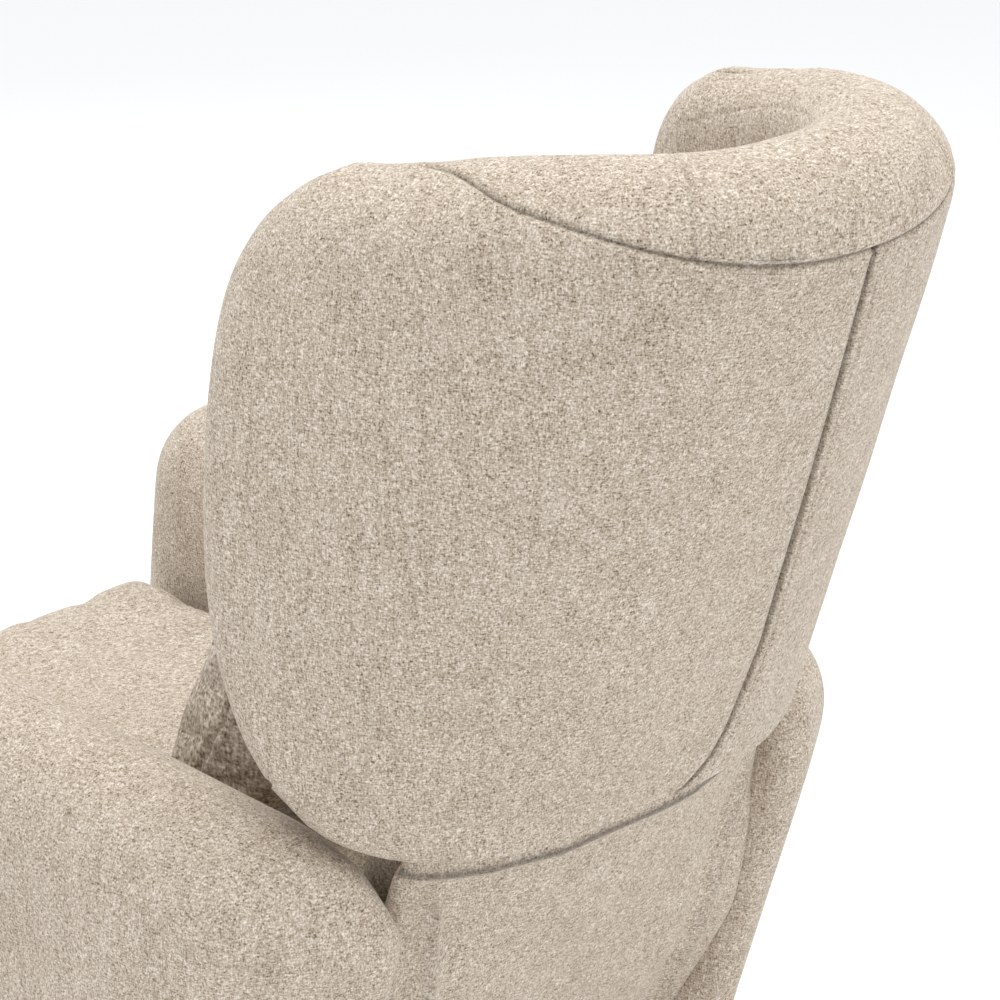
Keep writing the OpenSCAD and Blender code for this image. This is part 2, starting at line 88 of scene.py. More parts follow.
def length(name, description, default, low=0.0, high=5.0):
    """A length in metres, as a property."""
    return FloatProperty(
        name=name, description=description, default=default, min=low, max=high,
        precision=4, unit="LENGTH", subtype="DISTANCE")


def share(name, description, default, low=0.0, high=10.0):
    """A plain number, as a property."""
    return FloatProperty(name=name, description=description, default=default, min=low, max=high)


def turn(name, description, degrees):
    """An angle, as a property."""
    return FloatProperty(
        name=name, description=description, default=math.radians(degrees), unit="ROTATION",
        subtype="ANGLE")


def tint(name, description, default):
    """A colour, as a property."""
    return FloatVectorProperty(
        name=name, description=description, default=default, min=0, max=1, size=3,
        subtype="COLOR")


class TweedLook(bpy.types.PropertyGroup):
    """Yarn colours and weave of the upholstery tweed"""
    shade: tint("Shade", "Gaps between the yarns", (0.135, 0.100, 0.070))
    tan: tint("Tan", "Darker yarn", (0.375, 0.300, 0.222))
    beige: tint("Beige", "Main yarn", (0.520, 0.440, 0.350))
    cream: tint("Cream", "Lightest yarn", (0.840, 0.770, 0.680))
    yarn: length("Yarn", "Width of one yarn", 0.0013, 0.0005, 0.01)
    relief: length("Relief", "Depth of the weave", 0.0007, 0, 0.005)
    sheen: share("Sheen", "Fuzz that lightens the edges", 0.12, 0, 1)


class PillowLook(bpy.types.PropertyGroup):
    """Yarn colours and weave of the lumbar pillow"""
    shade: tint("Shade", "Gaps between the yarns", (0.13, 0.10, 0.075))
    tan: tint("Tan", "Darker yarn", (0.31, 0.25, 0.19))
    beige: tint("Beige", "Main yarn", (0.47, 0.40, 0.32))
    cream: tint("Cream", "Lightest yarn", (0.80, 0.74, 0.66))
    yarn: length("Yarn", "Width of one yarn", 0.0026, 0.0005, 0.01)
    relief: length("Relief", "Depth of the weave", 0.0011, 0, 0.005)
    sheen: share("Sheen", "Fuzz that lightens the edges", 0.12, 0, 1)


class ShellForm(bpy.types.PropertyGroup):
    """Form of the winged back shell"""
    width: length("Width", "Outer width at the lower edge", 0.600)
    height: length("Height", "Length along the lean", 0.624)
    roll: length("Roll", "Thickness of the rolled top", 0.126)
    wall: length("Wall", "Thickness at the lower edge", 0.092)
    padding: length("Padding", "Extra padding in the middle of the lower back", 0.045)
    wing_low: length("Low wings", "How far the wings come forward at the lower edge", 0.119)
    wing_high: length("High wings", "How far the wings come forward at the top", 0.250)
    wing_drop: length("Wing drop", "How far the top edge falls towards the wings", 0.038)
    edge: length("Edge", "Rounding of the lower edge", 0.015)
    lean: turn("Lean", "Lean of the back from upright", 21)


class SeamForm(bpy.types.PropertyGroup):
    """Sewn seams and the closing seam of the back"""
    depth: length("Seam depth", "How deep a sewn seam draws the cloth in", 0.0026, 0, 0.01)
    width: length("Seam width", "Half the width of a sewn seam", 0.0024, 0, 0.01)
    slit: length("Slit", "Half the opening of the closing seam", 0.0013, 0, 0.01)
    slit_depth: length("Slit depth", "Depth of the closing seam", 0.009, 0, 0.03)
    allowance: length("Allowance", "Distance from the closing seam to its stitch line", 0.0105, 0, 0.03)


class PaddingForm(bpy.types.PropertyGroup):
    """How the stuffed pieces swell"""
    voxel: length("Cloth grid", "Spacing of the simulated cloth", 0.006, 0.003, 0.02)
    pressure: share("Pressure", "Air pressure that fills the pieces", 4, 0, 20)
    swell: length("Swell", "Most that the seat cushion may swell", 0.012, 0, 0.05)
    pillow_swell: length("Pillow swell", "Most that the pillow may swell", 0.055, 0, 0.1)
    steps: IntProperty(
        name="Steps", description="Frames of cloth simulation", default=20, min=2, max=60)


class StudioForm(bpy.types.PropertyGroup):
    """Camera and light"""
    azimuth: turn("Azimuth", "Camera direction round the chair", 134.34)
    elevation: turn("Elevation", "Camera height above the horizon", 20.44)
    distance: length("Distance", "From the camera to what it looks at", 3.128)
    lens: share("Lens", "Focal length in millimetres on a 36 mm sensor", 129.8, 10, 300)
    aim: FloatVectorProperty(name="Aim", description="Point the camera looks at", size=3,
                             default=(-0.083, 0.153, 0.734), subtype="XYZ", unit="LENGTH")


def look(group):
    """The scene's settings of one group."""
    return getattr(bpy.context.scene, group)


# --- Shader building ----------------------------------------------------------------------

class Signal:
    """A value socket that takes part in Python expressions."""

    def __init__(self, shader, socket):
        self.shader = shader
        self.socket = socket

    def _math(self, operation, first, second):
        return self.shader.node("ShaderNodeMath", {"operation": operation}, {0: first, 1: second})

    def __add__(self, other):
        return self._math("ADD", self, other)

    def __radd__(self, other):
        return self._math("ADD", other, self)

    def __sub__(self, other):
        return self._math("SUBTRACT", self, other)

    def __rsub__(self, other):
        return self._math("SUBTRACT", other, self)

    def __mul__(self, other):
        return self._math("MULTIPLY", self, other)

    def __rmul__(self, other):
        return self._math("MULTIPLY", other, self)


class Shader:
    """One material's nodes."""

    def __init__(self, name):
        self.material = bpy.data.materials.new(name)
        self.material.use_nodes = True
        self.tree = self.material.node_tree
        self.tree.nodes.clear()
        self.output = self.tree.nodes.new("ShaderNodeOutputMaterial")

    def node(self, kind, settings=None, inputs=None, output=0):
        """Adds a node, sets it up, fills its sockets and returns one output."""
        made = self.tree.nodes.new(kind)
        for key, value in (settings or {}).items():
            if key == "stops":
                self._fill_ramp(made.color_ramp, value)
            else:
                setattr(made, key, value)
        for key, value in (inputs or {}).items():
            if isinstance(value, Signal):
                self.tree.links.new(value.socket, made.inputs[key])
            else:
                made.inputs[key].default_value = value
        return Signal(self, made.outputs[output])

    def _fill_ramp(self, ramp, stops):
        while len(ramp.elements) < len(stops):
            ramp.elements.new(1.0)
        for element, (position, colour) in zip(ramp.elements, stops):
            element.position = position
            element.color = (*colour, 1.0)

    def place(self, scale=(1, 1, 1), rotation=(0, 0, 0), shift=(0, 0, 0)):
        """Object coordinates, scaled, turned and shifted."""
        where = self.node("ShaderNodeTexCoord", output="Object")
        return self.node("ShaderNodeMapping", {"vector_type": "POINT"},
                         {"Vector": where, "Scale": scale, "Rotation": rotation, "Location": shift})

    def grain(self, size, detail=2.0, roughness=0.5, **placing):
        """Noise from 0 to 1 on the object's own coordinates, with size cells to the metre."""
        return self.node("ShaderNodeTexNoise", {}, {
            "Vector": self.place(**placing), "Scale": size, "Detail": detail,
            "Roughness": roughness})

    def spread(self, value, low, high):
        """The value stretched so that low becomes 0 and high becomes 1."""
        return self.node("ShaderNodeMapRange", {"clamp": True}, {
            "Value": value, "From Min": low, "From Max": high, "To Min": 0.0, "To Max": 1.0})

    def ramp(self, value, stops):
        """A colour from the value."""
        return self.node("ShaderNodeValToRGB", {"stops": stops}, {"Fac": value})

    def blend(self, factor, first, second, mode="MIX"):
        """One colour over another."""
        return self.node("ShaderNodeMix", {"data_type": "RGBA", "blend_type": mode},
                         {0: factor, 6: first, 7: second}, output=2)

    def bump(self, height, distance, strength=1.0):
        """A normal from a height."""
        return self.node("ShaderNodeBump", {}, {
            "Height": height, "Distance": distance, "Strength": strength})

    def surface(self, **inputs):
        """The Principled shader that ends the material."""
        named = {key.replace("_", " "): value for key, value in inputs.items()}
        shader = self.node("ShaderNodeBsdfPrincipled", {}, named)
        self.tree.links.new(shader.socket, self.output.inputs["Surface"])
        return self.material


def rgba(colour):
    """A colour with full alpha."""
    return (*colour, 1.0)


def tweed(name, form, nub=1.0):
    """Heathered tweed: short slubs both ways, dark and cream yarn flecks, soft patches, painted shade
    in seams.
    """
    cloth = Shader(name)
    pitch = 1.0 / form.yarn
    knots = cloth.grain(pitch * 0.80, detail=2.0, roughness=0.62)
    upright = cloth.grain(pitch, detail=1.0, scale=(1.0, 1.0, 0.28), shift=(3.1, 0, 0))
    level = cloth.grain(pitch, detail=1.0, scale=(0.28, 0.28, 1.0), shift=(0, 7.3, 0))
    patches = cloth.grain(34.0, detail=3.0, roughness=0.6, shift=(0, 0, 5.0))
    streaks = cloth.grain(150.0, detail=2.0, scale=(1.0, 1.0, 0.10), shift=(9.0, 0, 0))
    weave = knots * 0.5 + upright * 0.27 + level * 0.27
    tone = weave + (patches - 0.5) * 0.07 + (streaks - 0.5) * 0.09
    spread = cloth.spread(tone, 0.375, 0.665)
    colour = cloth.ramp(spread, [
        (0.0, form.shade), (0.24, form.tan), (0.52, form.beige), (1.0, form.cream)])
    fleck = cloth.spread(cloth.grain(pitch * 0.42, detail=1.0, shift=(0, 2.7, 1.9)), 0.66, 0.74)
    colour = cloth.blend(fleck * 0.55, colour, rgba(form.tan))
    # Painted shade: seams and creases that draw_in marked are drawn towards a near-black brown
    seam = cloth.node("ShaderNodeAttribute", {"attribute_name": "seam"}, output="Fac")
    colour = cloth.blend(seam * 0.9, colour, rgba(tuple(c * 0.22 for c in form.shade)))
    relief = cloth.bump(weave * nub, form.relief, 1.0)
    return cloth.surface(
        Base_Color=colour, Roughness=0.93, Normal=relief, Sheen_Weight=form.sheen,
        Sheen_Roughness=0.5, Specular_IOR_Level=0.15)


def wood_finish(name, pale, dark, ring, lacquer):
    """Straight-grained wood with pores under a clear finish."""
    wood = Shader(name)
    bend = wood.grain(3.0, detail=2.0)
    rings = wood.node("ShaderNodeTexWave", {"wave_type": "BANDS", "bands_direction": "X"}, {
        "Vector": wood.place(scale=(1.0, 0.12, 1.0)), "Scale": ring, "Distortion": 5.0,
        "Detail": 3.0, "Detail Scale": 1.4})
    pores = wood.grain(420.0, detail=2.0, scale=(1.0, 0.05, 1.0))
    mixed = wood.spread(rings * 0.6 + pores * 0.35 + bend * 0.2, 0.25, 0.95)
    colour = wood.ramp(mixed, [(0.0, dark), (1.0, pale)])
    return wood.surface(
        Base_Color=colour, Roughness=0.35 + pores * 0.2, Normal=wood.bump(pores, 0.00015),
        Coat_Weight=lacquer, Coat_Roughness=0.25)


def metal_finish(name, colour, metallic, roughness, grain_size):
    """Plated or powder-coated steel with a fine grain and rubbed patches."""
    metal = Shader(name)
    speck = metal.grain(grain_size, detail=2.0)
    rubbed = metal.grain(22.0, detail=3.0)
    tone = metal.ramp(rubbed, [
        (0.3, tuple(0.82 * c for c in colour)), (0.7, tuple(min(1.0, 1.1 * c) for c in colour))])
    return metal.surface(
        Base_Color=tone, Metallic=metallic, Roughness=roughness + rubbed * 0.12,
        Normal=metal.bump(speck, 0.00008))


def rubber_finish(name):
    """Matt moulded sheet with a fine pebble."""
    rubber = Shader(name)
    pebble = rubber.node("ShaderNodeTexVoronoi", {}, {"Vector": rubber.place(), "Scale": 500.0})
    colour = rubber.ramp(rubber.grain(30.0), [(0.3, (0.03,) * 3), (0.7, (0.055,) * 3)])
    return rubber.surface(Base_Color=colour, Roughness=0.8, Normal=rubber.bump(pebble, 0.0002))


def webbing_finish(name):
    """Black elastic webbing with a rib across it."""
    webbing = Shader(name)
    ribs = webbing.node("ShaderNodeTexWave", {"wave_type": "BANDS", "bands_direction": "Y"}, {
        "Vector": webbing.place(), "Scale": 160.0, "Distortion": 0.4})
    stripe = webbing.grain(18.0, scale=(1.0, 0.02, 1.0))
    colour = webbing.ramp(ribs * 0.5 + stripe * 0.5, [
        (0.3, (0.012,) * 3), (0.6, (0.045,) * 3), (0.8, (0.10, 0.09, 0.075))])
    return webbing.surface(Base_Color=colour, Roughness=0.85, Normal=webbing.bump(ribs, 0.0006))


def finish_named(name):
    """Makes a finish the first time it is asked for."""
    made = bpy.data.materials.get(name)
    if made:
        return made
    makers = {
        "beige_tweed": lambda: tweed(name, look("tweed_look")),
        "pillow_boucle": lambda: tweed(name, look("pillow_look"), nub=1.3),
        "lacquered_base_wood": lambda: wood_finish(
            name, (0.70, 0.53, 0.33), (0.46, 0.30, 0.16), 9.0, 0.35),
        "oiled_lever_wood": lambda: wood_finish(
            name, (0.56, 0.38, 0.21), (0.32, 0.19, 0.10), 16.0, 0.15),
        "bare_plywood": lambda: wood_finish(
            name, (0.78, 0.65, 0.46), (0.58, 0.44, 0.28), 7.0, 0.0),
        "bright_zinc": lambda: metal_finish(name, (0.66, 0.67, 0.69), 1.0, 0.26, 700.0),
        "black_powder_coat": lambda: metal_finish(name, (0.035, 0.035, 0.038), 0.0, 0.45, 900.0),
        "black_rubber": lambda: rubber_finish(name),
        "elastic_webbing": lambda: webbing_finish(name),
    }
    return makers[name]()


# --- Mesh building ------------------------------------------------------------------------

def add_piece(name, bm, finish):
    """Turns a bmesh into a smooth-shaded object with one finish."""
    mesh = bpy.data.meshes.new(name)
    bm.to_mesh(mesh)
    bm.free()
    mesh.shade_smooth()
    mesh.materials.append(finish_named(finish))
    piece = bpy.data.objects.new(name, mesh)
    bpy.context.scene.collection.objects.link(piece)
    return piece


def points_of(mesh):
    """The mesh's vertices as an array."""
    flat = np.empty(len(mesh.vertices) * 3)
    mesh.vertices.foreach_get("co", flat)
    return flat.reshape(-1, 3)


def set_points(mesh, points):
    """Moves the mesh's vertices."""
    mesh.vertices.foreach_set("co", np.ascontiguousarray(points, np.float32).ravel())
    mesh.update()


def normals_of(mesh):
    """The mesh's vertex normals as an array."""
    flat = np.empty(len(mesh.vertices) * 3)
    mesh.vertex_normals.foreach_get("vector", flat)
    return flat.reshape(-1, 3)


def gridded_box(columns, rows, rings):
    """A unit box whose edges along X, Y and Z are cut into that many steps."""
    bm = bmesh.new()
    bmesh.ops.create_cube(bm, size=1.0, matrix=Matrix.Translation((0.5, 0.5, 0.5)))
    for axis, steps in enumerate((columns, rows, rings)):
        along = [e for e in bm.edges if abs(e.verts[0].co[axis] - e.verts[1].co[axis]) > 1e-6]
        bmesh.ops.subdivide_edges(bm, edges=along, cuts=steps - 1, use_grid_fill=True)
    bmesh.ops.recalc_face_normals(bm, faces=bm.faces)
    return bm


def hull_of(balls=(), discs=()):
    """The convex hull of some balls and level discs, each given as a centre and a radius."""
    bm = bmesh.new()
    for centre, radius in balls:
        bmesh.ops.create_icosphere(
            bm, subdivisions=4, radius=radius, matrix=Matrix.Translation(centre))
    for centre, radius in discs:
        bmesh.ops.create_circle(
            bm, segments=48, radius=radius, matrix=Matrix.Translation(centre))
    made = bmesh.ops.convex_hull(bm, input=bm.verts)
    bmesh.ops.delete(bm, geom=made["geom_interior"] + made["geom_unused"], context="VERTS")
    skin = {f for f in made["geom"] if isinstance(f, bmesh.types.BMFace)}
    inner = [f for f in bm.faces if f not in skin]
    bmesh.ops.delete(bm, geom=inner, context="FACES")
    bmesh.ops.recalc_face_normals(bm, faces=bm.faces)
    return bm


def apply_modifiers(piece):
    """Replaces the mesh by what its modifiers make, and removes them."""
    graph = bpy.context.evaluated_depsgraph_get()
    made = bpy.data.meshes.new_from_object(piece.evaluated_get(graph))
    piece.modifiers.clear()
    old = piece.data
    piece.data = made
    bpy.data.meshes.remove(old)
    made.shade_smooth()


def remesh(piece, voxel, smoothing=6):
    """Even quads all over the piece, with the steps smoothed away."""
    grid = piece.modifiers.new("grid", "REMESH")
    grid.mode = "VOXEL"
    grid.voxel_size = voxel
    grid.use_smooth_shade = True
    polish = piece.modifiers.new("polish", "SMOOTH")
    polish.factor = 0.5
    polish.iterations = smoothing
    apply_modifiers(piece)


def swell(piece, pressure, cap, stiffness=15.0):
    """Fills the piece with air as cloth, and limits how far it swells."""
    rest = points_of(piece.data)
    cloth = piece.modifiers.new("cloth", "CLOTH")
    cloth.settings.use_pressure = True
    cloth.settings.uniform_pressure_force = pressure
    cloth.settings.effector_weights.gravity = 0.0
    cloth.settings.tension_stiffness = stiffness
    cloth.settings.compression_stiffness = stiffness
    cloth.settings.bending_stiffness = 0.4
    cloth.settings.quality = 5
    cloth.collision_settings.use_collision = False
    scene = bpy.context.scene
    steps = look("padding_form").steps
    cloth.point_cache.frame_end = steps
    for step in range(1, steps + 1):
        scene.frame_set(step)
    graph = bpy.context.evaluated_depsgraph_get()
    moved = points_of(piece.evaluated_get(graph).data)
    piece.modifiers.clear()
    scene.frame_set(1)
    travel = moved - rest
    far = np.linalg.norm(travel, axis=1, keepdims=True)
    limit = cap * np.tanh(far / cap)
    set_points(piece.data, rest + travel * limit / np.maximum(far, 1e-9))


def refine(piece):
    """One level of subdivision, applied."""
    smooth = piece.modifiers.new("refine", "SUBSURF")
    smooth.levels = 1
    smooth.render_levels = 1
    apply_modifiers(piece)


def ease(points, size, depth, seed=0.0):
    """Slow hollows and swells of upholstery, as heights."""
    lift = [noise.noise(Vector(p) / size + Vector((seed, 0, 0))) for p in points]
    return depth * np.array(lift)


def soften(piece, size, depth, seed=0.0):
    """Moves the surface in and out a little, as padding under cloth does."""
    points = points_of(piece.data)
    shift = ease(points, size, depth, seed)
    set_points(piece.data, points + normals_of(piece.data) * shift[:, None])


def draw_in(piece, distance, width, depth, ridge=0.25, dark=1.0):
    """Sinks a seam where distance, in metres, is near 0, lifts the cloth beside it, and paints shade
    into it.
    """
    near = np.abs(distance) / width
    drop = depth * np.exp(-near ** 2)
    lift = ridge * depth * np.exp(-((near - 2.6) / 1.2) ** 2)
    points = points_of(piece.data)
    set_points(piece.data, points - normals_of(piece.data) * (drop - lift)[:, None])
    # Painted shade: the seam attribute darkens the groove, more where it sinks deeper, for the shade
    # that falls in it
    shade = piece.data.attributes.get("seam")
    if shade is None:
        shade = piece.data.attributes.new("seam", "FLOAT", "POINT")
    values = np.empty(len(points))
    shade.data.foreach_get("value", values)
    painted_shade = dark * min(1.0, depth / 0.004) * np.exp(-(near * 1.7) ** 2)
    shade.data.foreach_set("value", np.maximum(values, painted_shade).astype(np.float32))


def hold(piece, low=(None, None, None), high=(None, None, None)):
    """Flattens the piece where it meets its neighbours."""
    points = points_of(piece.data)
    for axis in range(3):
        if low[axis] is not None:
            points[:, axis] = np.maximum(points[:, axis], low[axis])
        if high[axis] is not None:
            points[:, axis] = np.minimum(points[:, axis], high[axis])
    set_points(piece.data, points)


def fit(piece, body, slot, *nodes, fill=None):
    """Puts a piece on its body and hides the nodes that it stands for."""
    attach(piece, body)
    if nodes:
        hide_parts(*nodes)


# --- The back's own axes and the form of the shell ----------------------------------------

HINGE_Y = 0.250        # recline pivot
HINGE_Z = 0.311
HINGE_V = -0.150       # the pivot's place along the back, below the back's origin
SHELL_LOW = 0.137      # the shell's lower edge along the back
EDGE_STEP = 0.018      # room for the shell's rounded lower edge
PLAN_POWER = 2.6       # squareness of the shell in plan
TOP_POWER = 3.3        # squareness of the shell's upper outline
LOW_POWER = 5.5        # squareness of its lower outline
MIDDLE = 0.53          # height of the outline's widest point, as a share
SPREAD = 0.25          # how the shell widens upwards
GATHER = 0.375         # and draws in again at the top
BELLY = 2.04           # how early the wings reach forward


def on_back(x, w, v):
    """A point from the back's axes: across, out of its rear face, and up its lean."""
    lean = look("shell_form").lean
    back_y = HINGE_Y - HINGE_V * math.sin(lean)
    back_z = HINGE_Z - HINGE_V * math.cos(lean)
    y = back_y + w * math.cos(lean) + v * math.sin(lean)
    z = back_z + v * math.cos(lean) - w * math.sin(lean)
    return np.stack([x + 0 * y, y + 0 * x, z + 0 * x], axis=-1)


def smooth_step(x):
    """0 below 0, 1 above 1, and a soft rise between."""
    t = np.clip(x, 0, 1)
    return t * t * (3 - 2 * t)


class Shell:
    """The shell's surface: p runs from wing to wing, v up the back, and turn over the rim."""

    def __init__(self, form):
        self.form = form
        self.half = form.roll / 2
        self.a = form.width / 2 - self.half
        self.low = SHELL_LOW
        self.high = SHELL_LOW + form.height - form.roll / 2 - EDGE_STEP

    def half_width(self, v):
        """Half the width of the outline's middle line."""
        return self.a * (1 + SPREAD * v - GATHER * v * v)

    def wing_depth(self, v):
        """How far the wings come forward."""
        form = self.form
        return form.wing_low + (form.wing_high - form.wing_low) * (BELLY * v - (BELLY - 1) * v * v)

    def wall(self, p, v):
        """Thickness of the padded wall."""
        form = self.form
        rise = np.clip(v, 0, 1)
        side = np.clip(np.abs(p), 0, 1)
        taper = (form.roll - form.wall) * rise
        return form.wall + taper + form.padding * (1 - side ** 2) * (1 - rise)

    def plan(self, p, v):
        """Across and out of the back, along the wrapped middle line."""
        turn = np.minimum(np.abs(p), 1) * math.pi / 2
        beyond = np.maximum(np.abs(p) - 1, 0)
        power = 2 / PLAN_POWER
        across = np.sign(p) * self.half_width(v) * np.sin(turn) ** power
        bow = 1 - np.maximum(np.cos(turn), 0) ** power
        return across, -self.wing_depth(v) * bow - beyond * (self.a + self.wing_depth(v))

    def plan_normal(self, p, v):
        """The direction out of the middle line's rear side."""
        step = 0.004
        q = np.clip(p, -1 + step, 1 - step)
        x1, w1 = self.plan(q + step, v)
        x0, w0 = self.plan(q - step, v)
        size = np.hypot(x1 - x0, w1 - w0)
        return -(w1 - w0) / size, (x1 - x0) / size

    def place(self, p, v, out):
        """The point that far outside the middle line."""
        x, w = self.plan(p, v)
        nx, nw = self.plan_normal(p, v)
        top = self.high - self.form.wing_drop * p * p * np.clip(v, 0, 1) ** 2
        return on_back(x + nx * out, w + nw * out, self.low + v * (top - self.low))

    def point(self, p, q, turn):
        """p and q lie in the outline; turn goes over the rim, from the rear face to the inner one."""
        form = self.form
        low_roll = form.edge + (self.half - form.edge) * np.clip(np.abs(p), 0, 1) ** 3
        roll = np.where(q > 0, self.half, low_roll)
        reach = roll * np.sin(turn)
        p = p * (1 + reach / (self.a + self.wing_depth(0.5)))
        q = q * (1 + reach / ((self.high - self.low) / 2))
        v = np.where(q > 0, MIDDLE + q * (1 - MIDDLE), MIDDLE + q * MIDDLE)
        wall = self.wall(p, v)
        return self.place(p, v, self.half - wall / 2 + wall / 2 * np.cos(turn))


def stations(steps, seams, reach):
    """Loops from anchor to anchor: even steps, and a seam's own offsets at each inner anchor.

    Each loop is (anchor before, anchor after, share between them, offset)."""
    made = []
    last = len(steps) - 1
    for k, count in enumerate(steps):
        before = reach if k > 0 else 0.0
        after = reach if k < last else 0.0
        for j in range(count + 1):
            f = j / count
            made.append((k, k + 1, f, before * (1 - f) - after * f))
        if k < last:
            made += [(k + 1, k + 1, 0.0, offset) for offset in seams[k]]
    return np.array(made)


def station_values(loops, index, anchors, unit):
    """Each vertex's value, from its loop, the anchors' values there, and an offset's unit."""
    rows = loops[index]
    table = np.stack([np.broadcast_to(a, index.shape) for a in anchors])
    pick = np.arange(len(index))
    before = table[rows[:, 0].astype(int), pick]
    after = table[rows[:, 1].astype(int), pick]
    return before * (1 - rows[:, 2]) + after * rows[:, 2] + rows[:, 3] * unit


SEWN = [-0.006, -0.0035, -0.0018, -0.0008, 0.0, 0.0008, 0.0018, 0.0035, 0.006]
CLOSING = [-0.018, -0.014, -0.012, -0.0105, -0.009, -0.007, -0.0045, -0.0028, -0.0018, -0.0013,
           -0.0006, 0.0, 0.0006, 0.0013, 0.0018, 0.0028, 0.0045, 0.007, 0.010, 0.014, 0.018]
BAND = 0.023           # half the width kept for an upright seam's own loops
RIM_BAND = 0.0062      # half the width kept for a border seam's own loops
TOP_PIECE = 0.653      # where the short seams cross the top border, as a share of the half width
COLUMN_STEPS = [34, 22, 26, 34]    # steps across, between the wings and the upright seams
RING_STEPS = [7, 10, 5]            # steps over the rim, between the faces and the border seams
SHELL_ROWS = 100       # steps up the shell
OUTER_SIDE = 100.0     # border seams' angles over the rim, in degrees from the rear face
OUTER_LOW = 40.0
INNER_SIDE = 150.0
FAR = 1.0              # stands for no seam near, in metres


def closing_line(v):
    """How far towards the sitter's right the closing seam lies, as a share of the half width."""
    return -np.interp(v, [0.0, 0.013, 0.05, 0.10, 0.27, 1.0, 1.2],
                      [0.13, 0.193, 0.262, 0.284, 0.284, 0.095, 0.05])


def border_seams(side, top_row, low_row):
    """The angles over the rim of the border's outer and inner seams."""
    outer_top = 6 + 88 * side ** 1.75 + 26 * smooth_step((side - 0.60) / 0.23)
    inner_top = 168 - 18 * smooth_step(side / 0.833)
    outer = np.where(top_row, outer_top, np.where(low_row, OUTER_LOW, OUTER_SIDE))
    inner = np.where(top_row, inner_top, INNER_SIDE)
    return np.radians(outer), np.radians(inner)


def build_back_shell():
    """The shell's cover: a closed padded form with sewn seams and an open closing seam."""
    form = look("shell_form")
    seam = look("seam_form")
    shell = Shell(form)
    columns = stations(COLUMN_STEPS, [SEWN, CLOSING, SEWN], BAND)
    rings = stations(RING_STEPS, [SEWN, SEWN], RIM_BAND)
    last_column = len(columns) - 1
    last_ring = len(rings) - 1
    bm = gridded_box(last_column, SHELL_ROWS, last_ring)
    piece = add_piece("back_shell_cover", bm, "beige_tweed")
    unit = points_of(piece.data)
    column = np.rint(unit[:, 0] * last_column).astype(int)
    row = np.rint(unit[:, 1] * SHELL_ROWS).astype(int)
    ring = np.rint(unit[:, 2] * last_ring).astype(int)
    top_row = row == SHELL_ROWS
    low_row = row == 0
    rim = top_row | (column == 0) | (column == last_column)
    on_rim = rim | low_row

    # The outline: t runs up the shell, and p and q are a square squeezed to its rounded form
    t = 2 * row / SHELL_ROWS - 1
    v_guess = np.where(t > 0, MIDDLE + t * (1 - MIDDLE), MIDDLE + t * MIDDLE)
    closing = closing_line(v_guess)
    across = station_values(
        columns, column, [-1.0, -TOP_PIECE, closing, TOP_PIECE, 1.0], 1 / shell.a)
    across = np.clip(across, -1, 1)
    p_even = np.sign(across) * np.arcsin(np.abs(across) ** (PLAN_POWER / 2)) * 2 / math.pi
    power = np.where(t > 0, TOP_POWER, LOW_POWER)
    p = p_even * (1 - np.abs(t) ** power / 2) ** (1 / power)
    q = t * (1 - np.abs(p_even) ** power / 2) ** (1 / power)
    side = np.abs(p)

    # Away from the rim a vertex lies on the rear face or on the inner face
    outer_seam, inner_seam = border_seams(side, top_row, low_row)
    turn = station_values(rings, ring, [0.0, outer_seam, inner_seam, math.pi], 1 / shell.half)
    turn = np.where(on_rim, np.clip(turn, 0, math.pi), np.where(ring == 0, 0.0, math.pi))
    set_points(piece.data, shell.point(p, q, turn))

    # Sewn seams with painted shade: both along the rim, the short ones across the top border, and the
    # tucked edge
    draw_in(piece, np.where(rim, (turn - outer_seam) * shell.half, FAR), seam.width, seam.depth)
    draw_in(piece, np.where(rim, (turn - inner_seam) * shell.half, FAR), seam.width,
            seam.depth * 0.3, dark=0.3)
    on_border = top_row & (turn >= outer_seam) & (turn <= inner_seam)
    short = np.where(on_border, (np.abs(across) - TOP_PIECE) * shell.a, FAR)
    draw_in(piece, short, seam.width, seam.depth * 0.45, dark=0.6)
    # The tucked edge carries the strongest painted shade, a dark line along the shell's lower rim above
    # the hanging cover
    tucked = np.where(low_row & (side < 0.66), (turn - outer_seam) * form.roll * 0.35, FAR)
    draw_in(piece, tucked, seam.width * 1.2, seam.depth, ridge=0.0, dark=1.6)

    # The closing seam: its slit, the fold rising on one side and its stitch line, with painted shade
    # where sunk
    outside = (ring == 0) | (top_row & (turn <= outer_seam))
    apart = np.where(outside, (across - closing) * shell.half_width(v_guess), FAR)
    draw_in(piece, apart, seam.slit, seam.slit_depth, ridge=0.0)
    draw_in(piece, np.where(apart > 0, apart, FAR), 0.007, 0.0022, ridge=0.3)
    draw_in(piece, np.where(apart < 0, apart, FAR), 0.0025, 0.0014, ridge=0.0)
    draw_in(piece, apart + seam.allowance, 0.0016, 0.0010, ridge=0.9)
    soften(piece, 0.16, 0.0016, seed=2.0)
    fit(piece, "backrest", "upholstery", "back_shell", fill=0.85)


# --- The other covers ---------------------------------------------------------------------

SHEET_LOW = -0.413     # the hanging cover's ends, up the back
SHEET_HIGH = 0.142
SHEET_THICK = 0.016
SHEET_SEAM_SHADE = 0.106     # where it is sewn below the shell, up the back, with a painted shade line
HEM_RISE = 0.020       # its hem's stitch line, above its lower end
CREASE_INSET = 0.045   # its soft crease, in from its side, darkened with painted shade


def sheet_section(v):
    """How far out of the back's rear plane the hanging cover's outer face lies."""
    return np.interp(v, [-0.42, -0.30, -0.185, -0.10, 0.13], [0.004, 0.016, 0.032, 0.042, 0.047])


